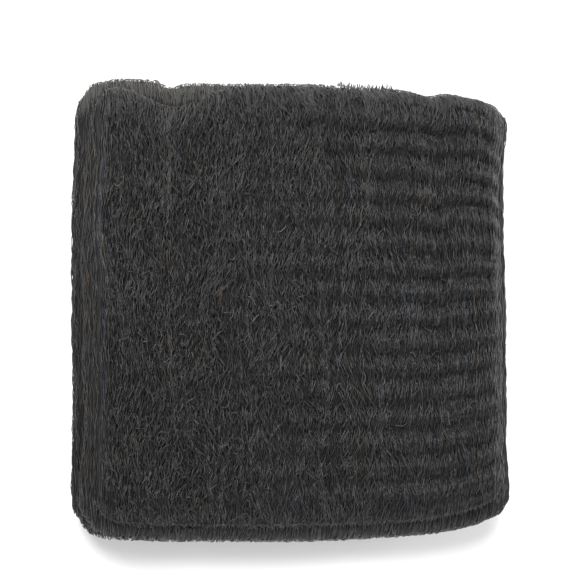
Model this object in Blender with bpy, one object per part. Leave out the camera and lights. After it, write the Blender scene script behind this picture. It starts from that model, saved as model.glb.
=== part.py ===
"""Folded bird netting: a wide net drawn together into a thick band and folded back and forth into a flat pad.

The tables and sizes are in millimetres, and the mesh is made in metres. X runs across the band, Y runs along its
layers from the near folds to the far ones, and Z is up. The pad lies on its back with its front layer on top.

The band is first laid out as a regular stack, in which "stack" is the height inside a flat pad, and then settled:
the stack is squeezed between the pad's flat underside and its crowned top, which keeps every layer off the next.
"""
import math
from collections import namedtuple

import bmesh
import bpy
from mathutils import Vector

MM = 0.001

# Driving sizes of the pad
HALF_WIDTH = 160.0
HALF_LENGTH = 162.0
PAD_HEIGHT = 62.0

# The stack of layers
LAYER_COUNT = 8
LAST_LAYER = LAYER_COUNT - 1
LAYER_GAP = 1.2
LAYER_PITCH = PAD_HEIGHT / LAYER_COUNT
HALF_THICKNESS = (LAYER_PITCH - LAYER_GAP) / 2
FOLD_RADIUS = LAYER_PITCH / 2
FOLD_STEPS = 5
FOLD_HOLD = 0.2
RUN_SHARES = (0.0, 0.035, 0.085, 0.2, 0.4, 0.6, 0.8, 0.915, 0.965, 1.0)

# The drawn-up rows of meshes on the front layer, which stand out less towards the left
MESH_ROWS = 17
ROW_RISE = 0.9
ROW_SHARE_AT_LEFT = 0.35

# How far the pad's rim is rounded off above and below
TOP_DROP = 12.0
TOP_ROUND = 30.0
UNDER_RISE = 8.0
UNDER_ROUND = 26.0

# How the band thins out at its side edges, at its two free ends and round its folds
EDGE_THINNING = (0.42, 0.78, 0.92)
END_THINNING = (0.50, 0.85)
FOLD_THINNING = 0.88

# Soft waves in the side edges and in the front face
EDGE_WAVE = 1.6
EDGE_WAVE_LENGTH = 74.0
EDGE_WAVE_SHIFT = 2.3
FACE_WAVE = 0.8
FACE_WAVE_ACROSS = 96.0
FACE_WAVE_ALONG = 118.0

# Reach of the folds at each column across the band, and the front face's height off its general crown
Column = namedtuple("Column", "across far_front far_deep near_front near_deep swell")
COLUMNS = (
    Column(-160, 129.0, 136.5, -130.0, -138.5, 0.0),
    Column(-154, 138.5, 147.0, -136.5, -148.0, 0.0),
    Column(-146, 143.0, 152.5, -140.0, -152.5, 0.3),
    Column(-134, 145.0, 155.0, -141.5, -154.5, 0.6),
    Column(-118, 142.5, 156.0, -142.7, -155.8, 0.2),
    Column(-105, 139.5, 155.5, -143.6, -157.0, -0.6),
    Column(-97, 135.5, 151.5, -144.2, -157.7, -1.2),
    Column(-88, 138.0, 154.5, -144.8, -158.2, -0.5),
    Column(-62, 149.0, 156.6, -145.8, -159.2, 0.4),
    Column(-22, 154.8, 160.0, -147.4, -161.0, 0.2),
    Column(10, 156.5, 162.0, -147.8, -162.0, 0.0),
    Column(50, 156.5, 162.0, -147.8, -162.0, -0.2),
    Column(86, 156.5, 161.6, -146.8, -161.2, 0.4),
    Column(96, 153.5, 158.8, -145.8, -161.0, -0.6),
    Column(108, 157.5, 161.8, -144.2, -160.0, 0.3),
    Column(128, 156.0, 160.2, -140.8, -157.4, 0.5),
    Column(144, 153.0, 158.0, -136.2, -152.8, 0.2),
    Column(154, 149.0, 154.5, -131.5, -149.5, 0.0),
    Column(160, 142.0, 149.0, -124.5, -144.0, 0.0),
)

# Side edges of the widest layers, from the near end to the far one
Side = namedtuple("Side", "along left right")
SIDES = (
    Side(-150, -156.0, 157.5),
    Side(-118, -158.2, 161.0),
    Side(-60, -157.8, 160.5),
    Side(0, -158.8, 161.4),
    Side(32, -159.2, 162.4),
    Side(72, -158.8, 161.4),
    Side(110, -157.4, 163.2),
    Side(142, -155.6, 166.0),
)

# How far each layer's side edges stay behind the widest ones, from the front layer down, and how steeply that fades
# towards the middle
INSET_POWER = 4
Layer = namedtuple("Layer", "left_inset right_inset")
LAYERS = (
    Layer(10.5, 15.5),
    Layer(4.5, 7.0),
    Layer(1.2, 2.4),
    Layer(0.0, 0.6),
    Layer(0.8, 0.0),
    Layer(1.6, 1.8),
    Layer(4.6, 4.0),
    Layer(9.5, 9.0),
)

# Each fold or free end from the front layer down, with the reach it takes and how far it stays behind it
Bend = namedtuple("Bend", "reach held_back")
FAR_BENDS = (
    Bend("far_front", 0.0),
    Bend("far_deep", 0.0),
    Bend("far_deep", 1.5),
    Bend("far_deep", 8.0),
)
NEAR_BENDS = (
    Bend("near_front", 0.0),
    Bend("near_deep", 2.0),
    Bend("near_deep", 0.0),
    Bend("near_deep", 3.0),
    Bend("near_deep", 9.5),
)

NETTING_COLOUR = (0.022, 0.022, 0.024, 1.0)
NETTING_ROUGHNESS = 0.5

# One step along the band: its layer, the layer past the nearer fold, how far along the run it lies, how freely the
# layer's side edges keep their own line there, and which way the band's outer face looks
Step = namedtuple("Step", "layer partner run freedom along stack face_along face_stack thinning")


def clear_scene():
    """Remove whatever the scene holds."""
    for thing in list(bpy.data.objects):
        bpy.data.objects.remove(thing, do_unlink=True)


def netting_material():
    """Return the dull black of extruded plastic net."""
    material = bpy.data.materials.new("netting_black")
    material.use_nodes = True
    shader = material.node_tree.nodes["Principled BSDF"]
    shader.inputs["Base Color"].default_value = NETTING_COLOUR
    shader.inputs["Roughness"].default_value = NETTING_ROUGHNESS
    shader.inputs["Metallic"].default_value = 0.0
    return material


def ease(share):
    """Return a share from 0 to 1, eased at both ends."""
    share = min(max(share, 0.0), 1.0)
    return share * share * (3 - 2 * share)


def read_side(along, edge):
    """Return a side edge's place at a place along the pad, eased between the table's rows."""
    if along <= SIDES[0].along:
        return getattr(SIDES[0], edge)
    for low, high in zip(SIDES, SIDES[1:]):
        if along <= high.along:
            share = (along - low.along) / (high.along - low.along)
            return getattr(low, edge) + (getattr(high, edge) - getattr(low, edge)) * ease(share)
    return getattr(SIDES[-1], edge)


def far_reach(column, layer):
    """Return how far a layer's far fold comes at a column."""
    bend = FAR_BENDS[layer // 2]
    return getattr(column, bend.reach) - bend.held_back


def near_reach(column, layer):
    """Return how far a layer's near fold, or its free end, comes at a column."""
    bend = NEAR_BENDS[(layer + 1) // 2]
    return getattr(column, bend.reach) + bend.held_back


def layer_height(layer):
    """Return the height of a layer's middle in the stack, counted from the front layer."""
    return PAD_HEIGHT - LAYER_PITCH * (layer + 0.5)


def straight_ends(column, layer):
    """Return where a layer's straight run starts and ends, in the direction in which the band runs."""
    overhang = FOLD_RADIUS + HALF_THICKNESS
    far = far_reach(column, layer) - overhang
    free_near = layer in (0, LAST_LAYER)
    near = near_reach(column, layer) + (0.0 if free_near else overhang)
    return (near, far) if layer % 2 == 0 else (far, near)


def run_steps(column, layer):
    """Return the steps of a layer's straight run, with its free end where it has one."""
    start, end = straight_ends(column, layer)
    half_rows = MESH_ROWS * 2
    shares = [index / half_rows for index in range(half_rows + 1)] if layer == 0 else RUN_SHARES
    side = 1.0 if layer % 2 == 0 else -1.0
    steps = []
    for index, run in enumerate(shares):
        from_free_end = index if layer == 0 else len(shares) - 1 - index
        thinned = layer in (0, LAST_LAYER) and from_free_end < len(END_THINNING)
        thinning = END_THINNING[from_free_end] if thinned else 1.0
        partner = min(max(layer + (1 if run > 0.5 else -1), 0), LAST_LAYER)
        freedom = ease(min(run, 1 - run) / FOLD_HOLD)
        along = start + (end - start) * run
        steps.append(Step(layer, partner, run, freedom, along, layer_height(layer), 0.0, side, thinning))
    return steps


def fold_steps(column, layer):
    """Return the steps of the fold from a layer to the next one, without the two that the runs already hold."""
    side = 1.0 if layer % 2 == 0 else -1.0
    centre_along = straight_ends(column, layer)[1]
    centre_stack = layer_height(layer) - FOLD_RADIUS
    steps = []
    for index in range(1, FOLD_STEPS):
        angle = math.pi * (0.5 - index / FOLD_STEPS)
        along = centre_along + side * FOLD_RADIUS * math.cos(angle)
        stack = centre_stack + FOLD_RADIUS * math.sin(angle)
        face_along, face_stack = math.cos(angle), side * math.sin(angle)
        thinning = 1 - (1 - FOLD_THINNING) * math.cos(angle)
        steps.append(Step(layer, layer + 1, 1.0, 0.0, along, stack, face_along, face_stack, thinning))
    return steps


def band_steps(column):
    """Return every step of the band at a column, from the front layer's free end to the back layer's."""
    steps = []
    for layer in range(LAYER_COUNT):
        steps += run_steps(column, layer)
        if layer < LAST_LAYER:
            steps += fold_steps(column, layer)
    return steps


def place_across(column, step):
    """Return the X of a step at a column, drawn in or let out towards the side edge it is nearer to."""
    outward = column.across / HALF_WIDTH
    edge, field = ("left", "left_inset") if outward < 0 else ("right", "right_inset")
    reach = abs(read_side(step.along, edge))
    own_inset, partner_inset = getattr(LAYERS[step.layer], field), getattr(LAYERS[step.partner], field)
    fold_inset = (own_inset + partner_inset) / 2
    wave = math.sin(2 * math.pi * step.along / EDGE_WAVE_LENGTH + EDGE_WAVE_SHIFT * step.layer)
    free_inset = own_inset + EDGE_WAVE * (1 + wave) / 2
    inset = fold_inset + (free_inset - fold_inset) * step.freedom
    return outward * reach - math.copysign(inset * outward ** INSET_POWER, outward)


def rim_round(across, along, width):
    """Return how much of the rim's rounding a place takes, from 0 inside to 1 on the pad's outline."""
    near_side = max(0.0, 1 - (HALF_WIDTH - abs(across)) / width)
    near_end = max(0.0, 1 - (HALF_LENGTH - abs(along)) / width)
    side, end = min(near_side, 1.0) ** 2, min(near_end, 1.0) ** 2
    return side + end - side * end


def settle(across, along, stack, swell):
    """Return the real height of a place in the stack, squeezed between the underside and the crowned top."""
    wave = math.sin(2 * math.pi * across / FACE_WAVE_ACROSS)
    wave *= math.sin(2 * math.pi * along / FACE_WAVE_ALONG)
    top = PAD_HEIGHT - TOP_DROP * rim_round(across, along, TOP_ROUND) + swell + FACE_WAVE * (wave - 1)
    underside = UNDER_RISE * rim_round(across, along, UNDER_ROUND)
    share = (stack - LAYER_GAP / 2) / (PAD_HEIGHT - LAYER_GAP)
    return underside + (top - underside) * share


def row_ripple(column, step):
    """Return how far a drawn-up row of meshes lifts or drops the front layer's upper face."""
    if step.layer > 0 or step.run == 1.0:
        return 0.0
    from_left = (column.across + HALF_WIDTH) / (2 * HALF_WIDTH)
    share = ROW_SHARE_AT_LEFT + (1 - ROW_SHARE_AT_LEFT) * from_left
    return ROW_RISE * share * math.cos(2 * math.pi * MESH_ROWS * step.run)


def edge_thinning(index):
    """Return the share of the full thickness at a column, counted from the nearer side edge."""
    from_edge = min(index, len(COLUMNS) - 1 - index)
    return EDGE_THINNING[from_edge] if from_edge < len(EDGE_THINNING) else 1.0


def band_point(column, index, step, side):
    """Return a point of the band's outer (side 1) or inner (side -1) face."""
    half = HALF_THICKNESS * step.thinning * edge_thinning(index) * side
    across = place_across(column, step)
    along = step.along + step.face_along * half
    stack = step.stack + step.face_stack * half
    height = settle(across, along, stack, column.swell)
    if side > 0:
        height += row_ripple(column, step)
    return Vector((across, along, height))


def face_points():
    """Return the band's outer and inner points, each as one list of steps for every column."""
    outer, inner = [], []
    for index, column in enumerate(COLUMNS):
        steps = band_steps(column)
        outer.append([band_point(column, index, step, 1) for step in steps])
        inner.append([band_point(column, index, step, -1) for step in steps])
    return outer, inner


def centre_shift(outer, inner):
    """Return the shift that stands the pad on the ground with the middle of its outline at the origin."""
    points = [point for face in (outer, inner) for line in face for point in line]
    lowest = Vector(min(point[axis] for point in points) for axis in range(3))
    highest = Vector(max(point[axis] for point in points) for axis in range(3))
    middle = (lowest + highest) / 2
    return Vector((-middle.x, -middle.y, -lowest.z))


def skin_grid(mesh, lines):
    """Skin the faces between neighbouring lines of vertices."""
    for first, second in zip(lines, lines[1:]):
        for index in range(len(first) - 1):
            mesh.faces.new((first[index], first[index + 1], second[index + 1], second[index]))


def build_netting():
    """Build the folded band as one closed body."""
    outer, inner = face_points()
    shift = centre_shift(outer, inner)
    mesh = bmesh.new()
    outer_lines = [[mesh.verts.new((point + shift) * MM) for point in line] for line in outer]
    inner_lines = [[mesh.verts.new((point + shift) * MM) for point in line] for line in inner]
    skin_grid(mesh, outer_lines)
    skin_grid(mesh, inner_lines)
    for edge in (0, -1):
        skin_grid(mesh, [outer_lines[edge], inner_lines[edge]])
        outer_end = [line[edge] for line in outer_lines]
        inner_end = [line[edge] for line in inner_lines]
        skin_grid(mesh, [outer_end, inner_end])
    bmesh.ops.triangulate(mesh, faces=mesh.faces, quad_method="SHORT_EDGE")
    bmesh.ops.recalc_face_normals(mesh, faces=mesh.faces)
    data = bpy.data.meshes.new("netting")
    mesh.to_mesh(data)
    mesh.free()
    data.shade_smooth()
    data.materials.append(netting_material())
    netting = bpy.data.objects.new("netting", data)
    bpy.context.scene.collection.objects.link(netting)
    return netting


clear_scene()
build_netting()
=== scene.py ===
"""The looks of a folded pad of black bird netting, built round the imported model.

A wide extruded net is drawn together across its width into a thick band, and the band is folded back and
forth into a flat pad that lies on its back. The band's body is a soft dark sheet on the solid's own folds,
and the net on it is made of its strands: the long ones that run with the band, and the cross ones that the
drawing together has doubled into loops. Lengths are in millimetres until a mesh or a curve is made of them.
A range is the least and the greatest value that is drawn.
"""
from __future__ import annotations

import logging
import math
from dataclasses import dataclass, field
from enum import Enum
from typing import NamedTuple

import bmesh
import bpy
import numpy as np
from mathutils import Matrix, Vector


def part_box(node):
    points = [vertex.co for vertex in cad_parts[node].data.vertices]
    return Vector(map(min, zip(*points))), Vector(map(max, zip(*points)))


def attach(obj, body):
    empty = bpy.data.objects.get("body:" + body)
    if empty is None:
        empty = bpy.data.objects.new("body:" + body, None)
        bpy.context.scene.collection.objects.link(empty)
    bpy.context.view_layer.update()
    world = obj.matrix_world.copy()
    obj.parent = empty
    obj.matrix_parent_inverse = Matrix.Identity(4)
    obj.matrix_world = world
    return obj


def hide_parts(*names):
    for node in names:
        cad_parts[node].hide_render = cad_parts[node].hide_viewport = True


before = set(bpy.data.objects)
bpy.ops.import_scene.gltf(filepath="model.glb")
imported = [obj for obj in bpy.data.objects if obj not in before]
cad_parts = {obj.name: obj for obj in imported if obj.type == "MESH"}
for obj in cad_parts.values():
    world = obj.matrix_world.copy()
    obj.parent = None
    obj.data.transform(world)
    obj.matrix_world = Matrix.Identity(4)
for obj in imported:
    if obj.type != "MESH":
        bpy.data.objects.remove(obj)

MM = 0.001
FULL_TURN = 2 * math.pi
NODE = "netting"
BODY = "root"

Triple = tuple[float, float, float]
Range = tuple[float, float]
Chances = tuple[float, ...]
Table = tuple[tuple[float, ...], tuple[float, ...]]
Waves = tuple[tuple[Range, float], ...]
Values = np.ndarray | float
Chance = np.random.Generator

log = logging.getLogger("netting")


class Column(NamedTuple):
    """The reach of the folds at one place across the band, and the front face's height off its crown."""

    across: float
    far_front: float
    far_deep: float
    near_front: float
    near_deep: float
    swell: float


class Side(NamedTuple):
    """The side edges of the widest layers at one place along the pad."""

    along: float
    left: float
    right: float


class Layer(NamedTuple):
    """How far a layer's side edges stay behind the widest ones."""

    left_inset: float
    right_inset: float


COLUMNS = (
    Column(-160, 134.0, 140.5, -130.0, -138.5, 0.0),
    Column(-154, 141.5, 149.5, -136.5, -148.0, 0.0),
    Column(-146, 144.5, 152.5, -140.0, -152.5, 0.3),
    Column(-134, 144.0, 155.0, -141.5, -154.5, 0.6),
    Column(-118, 138.5, 156.0, -142.7, -155.8, 0.2),
    Column(-105, 134.5, 155.5, -143.6, -157.0, -0.6),
    Column(-97, 134.0, 151.5, -144.2, -157.7, -1.2),
    Column(-88, 136.5, 154.5, -144.8, -158.2, -0.5),
    Column(-62, 149.0, 156.6, -145.8, -159.2, 0.4),
    Column(-22, 154.8, 160.0, -147.4, -161.0, 0.2),
    Column(10, 156.5, 162.0, -147.8, -162.0, 0.0),
    Column(50, 156.5, 162.0, -147.8, -162.0, -0.2),
    Column(86, 156.5, 161.6, -146.8, -161.2, 0.4),
    Column(96, 153.5, 158.8, -145.8, -161.0, -0.6),
    Column(108, 157.5, 161.8, -144.2, -160.0, 0.3),
    Column(128, 156.0, 160.2, -140.8, -157.4, 0.5),
    Column(144, 153.0, 158.0, -136.2, -152.8, 0.2),
    Column(154, 149.0, 154.5, -131.5, -149.5, 0.0),
    Column(160, 142.0, 149.0, -124.5, -144.0, 0.0),
)

SIDES = (
    Side(-150, -156.0, 156.0),
    Side(-118, -158.2, 157.8),
    Side(-60, -157.8, 159.7),
    Side(0, -158.8, 161.4),
    Side(32, -159.2, 162.4),
    Side(72, -158.8, 161.4),
    Side(110, -157.4, 163.2),
    Side(142, -155.6, 166.0),
)

LAYERS = (
    Layer(10.5, 15.5),
    Layer(4.5, 7.0),
    Layer(1.2, 2.4),
    Layer(0.0, 0.6),
    Layer(0.8, 0.0),
    Layer(1.6, 1.8),
    Layer(4.6, 4.0),
    Layer(9.5, 9.0),
)

FAR_HELD_BACK = (0.0, 0.0, 1.5, 8.0)
NEAR_HELD_BACK = (0.0, 2.0, 0.0, 3.0, 9.5)


def ease(share: Values) -> np.ndarray:
    """Return shares from 0 to 1, eased at both ends."""
    share = np.clip(share, 0.0, 1.0)
    return share * share * (3 - 2 * share)


def arch(points: int) -> tuple[np.ndarray, np.ndarray]:
    """Return the share of its way at each of a loop's points, and its rise there, from 0 at its feet to 1."""
    share = np.linspace(0, 1, points)
    return share, np.sin(math.pi * share)


class Tone(Enum):
    """The strands' shades, as indices into a piece's finishes."""

    DEEP = 0
    PLAIN = 1
    WARM = 2
    COOL = 3
    # Painted light: a paler grey-black that stands for the light falling on the far folds and the right side
    # strip.
    DUSTY = 4


class StreakNodes:
    """The start of a finish: streaks of shade along the band.

    Attributes:
        material: The new material.
        tree: Its nodes.
        shader: The node of its surface.
        place: The node of the places on the object.
        streaks: The node of the streaks' strength.
    """

    def __init__(self, name: str, repeats: Triple, detail: float, shades: tuple[Triple, Triple],
                 between: Range) -> None:
        """Make the material, with its streaks' shades as its colour.

        Args:
            name: The material's name.
            repeats: How often the streaks change in a metre along each axis.
            detail: How fine their unevenness goes.
            shades: The darker and the lighter colour.
            between: The strengths between which the shade changes.
        """
        self.material = bpy.data.materials.new(name)
        self.material.use_nodes = True
        self.tree = self.material.node_tree
        self.shader = self.tree.nodes["Principled BSDF"]
        self.place = self.tree.nodes.new("ShaderNodeTexCoord")
        stretch = self.tree.nodes.new("ShaderNodeMapping")
        stretch.inputs["Scale"].default_value = repeats
        self.streaks = self.tree.nodes.new("ShaderNodeTexNoise")
        self.streaks.inputs["Scale"].default_value = 1.0
        self.streaks.inputs["Detail"].default_value = detail
        ramp = self.tree.nodes.new("ShaderNodeValToRGB")
        for stop, strength, shade in zip(ramp.color_ramp.elements, between, shades):
            stop.position = strength
            stop.color = (*shade, 1.0)
        self.link(self.place.outputs["Object"], stretch.inputs["Vector"])
        self.link(stretch.outputs["Vector"], self.streaks.inputs["Vector"])
        self.link(self.streaks.outputs["Fac"], ramp.inputs["Fac"])
        self.link(ramp.outputs["Color"], self.shader.inputs["Base Color"])

    def link(self, start: bpy.types.NodeSocket, end: bpy.types.NodeSocket) -> None:
        """Link two sockets."""
        self.tree.links.new(start, end)

    def raise_relief(self, height: bpy.types.NodeSocket, strength: float, depth: float) -> None:
        """Raise the surface by a height.

        Args:
            height: The socket that gives the height.
            strength: How strongly it shows.
            depth: Its depth in metres.
        """
        bump = self.tree.nodes.new("ShaderNodeBump")
        bump.inputs["Strength"].default_value = strength
        bump.inputs["Distance"].default_value = depth
        self.link(height, bump.inputs["Height"])
        self.link(bump.outputs["Normal"], self.shader.inputs["Normal"])


@dataclass(frozen=True)
class StrandFinish:
    """Extruded black plastic, with the slow changes of shade and gloss that a drawn strand has.

    Attributes:
        name: The material's name.
        dark: The darker colour.
        light: The lighter colour.
        gloss: The lowest and highest roughness.
        repeats: How often the shade changes in a metre along each axis.
        detail: How fine its unevenness goes.
        between: The strengths between which the shade changes.
        grain: How often the drawn surface's grain changes in a metre.
        grain_detail: How fine the grain's unevenness goes.
        relief: How strongly the grain shows.
        grain_depth: Its depth in metres.
    """

    name: str
    dark: Triple
    light: Triple
    gloss: Range
    repeats: Triple = (420.0, 55.0, 420.0)
    detail: float = 3.0
    between: Range = (0.34, 0.68)
    grain: float = 2600.0
    grain_detail: float = 2.0
    relief: float = 0.25
    grain_depth: float = 0.0001

    def material(self) -> bpy.types.Material:
        """Make the finish.

        Returns:
            A node material.
        """
        look = StreakNodes(self.name, self.repeats, self.detail, (self.dark, self.light), self.between)
        rubbed = look.tree.nodes.new("ShaderNodeMapRange")
        rubbed.inputs["To Min"].default_value, rubbed.inputs["To Max"].default_value = self.gloss
        grain = look.tree.nodes.new("ShaderNodeTexNoise")
        grain.inputs["Scale"].default_value = self.grain
        grain.inputs["Detail"].default_value = self.grain_detail
        look.link(look.streaks.outputs["Fac"], rubbed.inputs["Value"])
        look.link(rubbed.outputs["Result"], look.shader.inputs["Roughness"])
        look.link(look.place.outputs["Object"], grain.inputs["Vector"])
        look.raise_relief(grain.outputs["Fac"], self.relief, self.grain_depth)
        return look.material


@dataclass(frozen=True)
class PackedFinish:
    """The dark mass of packed strands under the ones that show, as streaks along the band, with painted shade in
    its hollows.

    Attributes:
        name: The material's name.
        dark: The colour of the hollows between the strands: the black plastic, darkened further as painted
            shade.
        light: The colour of the strands.
        roughness: The roughness all over.
        relief: The depth of the streaks in metres.
        shine: The strength of its reflections: low, as painted shade for the little light that leaves the
            hollows.
        repeats: How often the streaks change in a metre along each axis.
        detail: How fine their unevenness goes.
        distortion: How much they wander.
        between: The strengths between which the shade changes.
    """

    name: str
    dark: Triple
    light: Triple
    roughness: float
    relief: float
    shine: float = 0.35
    repeats: Triple = (700.0, 90.0, 700.0)
    detail: float = 4.0
    distortion: float = 0.6
    between: Range = (0.42, 0.70)

    def material(self) -> bpy.types.Material:
        """Make the finish.

        Returns:
            A node material.
        """
        look = StreakNodes(self.name, self.repeats, self.detail, (self.dark, self.light), self.between)
        look.shader.inputs["Roughness"].default_value = self.roughness
        # Low reflections are painted shade of the hollows between the strands.
        look.shader.inputs["Specular IOR Level"].default_value = self.shine
        look.streaks.inputs["Distortion"].default_value = self.distortion
        look.raise_relief(look.streaks.outputs["Fac"], 1.0, self.relief)
        return look.material


STRAND_FINISHES = {
    Tone.DEEP: StrandFinish("net_deep_black", (0.005, 0.005, 0.005), (0.013, 0.013, 0.013), (0.32, 0.48)),
    Tone.PLAIN: StrandFinish("net_black", (0.010, 0.010, 0.011), (0.032, 0.032, 0.033), (0.28, 0.42)),
    Tone.WARM: StrandFinish("net_brown_black", (0.019, 0.015, 0.012), (0.052, 0.044, 0.036), (0.32, 0.46)),
    Tone.COOL: StrandFinish("net_blue_black", (0.012, 0.014, 0.019), (0.034, 0.039, 0.050), (0.28, 0.42)),
    # The paler grey-black finish is painted light on the black plastic.
    Tone.DUSTY: StrandFinish("net_painted_pale_black", (0.054, 0.052, 0.048), (0.104, 0.100, 0.092), (0.42, 0.58)),
}
# The packed body's dark streaks and low reflections are partly painted shade between the strands.
BODY_FINISH = PackedFinish(
    "net_packed", (0.005, 0.005, 0.005), (0.022, 0.021, 0.021), roughness=0.66, relief=0.0014)
# Painted light: the far folds' paler packed finish stands for the light that falls on them.
PAINTED_PALE_BODY_FINISH = PackedFinish(
    "net_packed_painted_pale", (0.036, 0.035, 0.032), (0.076, 0.074, 0.068), roughness=0.70, relief=0.0010)


@dataclass
class WaveField:
    """An uneven but smooth field over the band, as a sum of slow waves.

    Attributes:
        seed: What fixes the waves.
        across_length: The usual length of its waves across the band.
        along_length: The usual length of its waves along the band.
        count: How many waves it has.
        paces: The range of how many waves fit in a usual one.
        size: The field's size.
    """

    seed: int
    across_length: float
    along_length: float
    count: int = 14
    paces: Range = (0.55, 1.6)
    size: float = 0.8

    def __post_init__(self) -> None:
        """Draw the waves."""
        chance = np.random.default_rng(self.seed)
        turn = chance.uniform(0, FULL_TURN, self.count)
        pace = chance.uniform(*self.paces, self.count)
        self.per_across = np.cos(turn) * pace * FULL_TURN / self.across_length
        self.per_along = np.sin(turn) * pace * FULL_TURN / self.along_length
        self.phase = chance.uniform(0, FULL_TURN, self.count)

    def at(self, across: Values, along: np.ndarray) -> np.ndarray:
        """Return the field, mostly from -1 to 1, at places across and along the band."""
        angle = np.multiply.outer(across, self.per_across) + np.multiply.outer(along, self.per_along)
        return np.sin(angle + self.phase).sum(axis=-1) * math.sqrt(2 / self.count) * self.size


@dataclass
class FoldedBand:
    """The band on its back-and-forth path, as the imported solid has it.

    A place on it is given across the band, by its travel along it from the front layer's free end, and by
    its side, which is 1 on the outer face, -1 on the inner one and between them inside. Each layer's run and
    each fold take up the same travel everywhere, whatever their real length.

    Attributes:
        half_width: Half of the width that the column table covers.
        half_length: Half of the length that the rim's rounding is measured from.
        pad_height: The stack's height before it is settled.
        layer_count: How many layers the stack has.
        layer_gap: The gap between two layers in the stack.
        mesh_rows: How many rows of meshes the front layer's run has.
        row_rise: How far a drawn-up row lifts the front face at the right.
        row_share_at_left: The share of that rise at the left, before it fades out.
        row_fade: The share of the width, from the left, in which the rows fade in.
        top_drop: How far the top is rounded off at the outline.
        top_round: How wide that rounding is.
        under_rise: How far the underside rises at the outline.
        under_round: How wide that rise is.
        edge_wave: The depth of the waves in the side edges.
        edge_wave_length: Their length.
        edge_wave_shift: How far each layer's waves are ahead of the last layer's.
        inset_power: How steeply a side inset fades towards the middle.
        fold_hold: The share of a run in which a fold still holds its side edges.
        fold_thinning: The share of the thickness that is left at a fold's middle.
        edge_thinning: Distances from the middle, and the share of the thickness that is left there.
        end_thinning: Distances from a free end, and the share of the thickness that is left there.
        face_wave: The depth of the slow waves in the stack.
        face_wave_across: Their length across the band.
        face_wave_along: Their length along it.
        run_travel: The travel that a layer's run takes up.
        fold_travel: The travel that a fold takes up.
        fine_across: How many places the columns' smooth curves are worked out at.
        fine_along: How many places the side edges are worked out at.
        shift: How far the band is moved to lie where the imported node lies.
    """

    half_width: float = 160.0
    half_length: float = 162.0
    pad_height: float = 62.0
    layer_count: int = 8
    layer_gap: float = 1.2
    mesh_rows: int = 17
    row_rise: float = 0.9
    row_share_at_left: float = 0.35
    row_fade: float = 0.7
    top_drop: float = 12.0
    top_round: float = 30.0
    under_rise: float = 8.0
    under_round: float = 26.0
    edge_wave: float = 1.6
    edge_wave_length: float = 74.0
    edge_wave_shift: float = 2.3
    inset_power: int = 4
    fold_hold: float = 0.2
    fold_thinning: float = 0.88
    edge_thinning: Table = ((134, 146, 154, 160), (1.0, 0.92, 0.78, 0.42))
    end_thinning: Table = ((0, 9, 18), (0.50, 0.85, 1.0))
    face_wave: float = 0.8
    face_wave_across: float = 96.0
    face_wave_along: float = 118.0
    run_travel: float = 300.0
    fold_travel: float = 20.0
    fine_across: int = 641
    fine_along: int = 293
    shift: np.ndarray = field(default_factory=lambda: np.zeros(3))

    def __post_init__(self) -> None:
        """Work out the sizes that follow from the others, and the fine curves through the tables."""
        self.last = self.layer_count - 1
        self.pitch = self.pad_height / self.layer_count
        self.half_thickness = (self.pitch - self.layer_gap) / 2
        self.fold_radius = self.pitch / 2
        self.unit = self.run_travel + self.fold_travel
        self.whole_travel = self.unit * self.last + self.run_travel
        self.across_places = np.linspace(-self.half_width, self.half_width, self.fine_across)
        self.columns = {name: self._smooth_column(name) for name in Column._fields[1:]}
        self.along_places = np.linspace(SIDES[0].along, SIDES[-1].along, self.fine_along)
        self.edges = {name: self._eased_side(name) for name in Side._fields[1:]}
        self.left_insets = np.array([layer.left_inset for layer in LAYERS])
        self.right_insets = np.array([layer.right_inset for layer in LAYERS])

    @staticmethod
    def heading(layer: np.ndarray | int) -> Values:
        """Return 1 for layers that run to the far folds, outer face up, and -1 for those that run back."""
        return 1.0 - 2.0 * (layer % 2)

    @staticmethod
    def is_painted_pale(fold: np.ndarray | int) -> np.ndarray | bool:
        """Return whether folds are far ones behind the front one, which take the paler finish that paints the
        light falling on them.
        """
        return (fold > 0) & (fold % 2 == 0)

    @staticmethod
    def _read(rows: tuple, name: str, at: np.ndarray) -> tuple[np.ndarray, ...]:
        """Read one column of a table.

        Args:
            rows: The table, whose first column places its rows.
            name: The name of the column that is read.
            at: The places to read it at.

        Returns:
            The rows' places, their values, the row that each place follows, and how far on it is to the next.
        """
        places = np.array([row[0] for row in rows], float)
        values = np.array([getattr(row, name) for row in rows], float)
        row = np.clip(np.searchsorted(places, at, side="right") - 1, 0, len(places) - 2)
        return places, values, row, (at - places[row]) / (places[row + 1] - places[row])

    def _smooth_column(self, name: str) -> np.ndarray:
        """Lay a smooth curve through one column of the columns' table.

        Args:
            name: The column's name.

        Returns:
            The curve's values at all the fine places across.
        """
        places, values, row, share = self._read(COLUMNS, name, self.across_places)
        slopes = np.gradient(values, places)
        length = places[row + 1] - places[row]
        rise = values[row + 1] - values[row]
        bend_in = slopes[row] * length - rise
        bend_out = rise - slopes[row + 1] * length
        bulge = share * (1 - share) * ((1 - share) * bend_in + share * bend_out)
        return values[row] + share * rise + bulge

    def _eased_side(self, name: str) -> np.ndarray:
        """Return one side edge along the pad, eased between the table's rows."""
        _, values, row, share = self._read(SIDES, name, self.along_places)
        return values[row] + (values[row + 1] - values[row]) * ease(share)

    def _column(self, name: str, across: np.ndarray) -> np.ndarray:
        """Return one column's value at places across the band."""
        return np.interp(across, self.across_places, self.columns[name])

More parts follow.
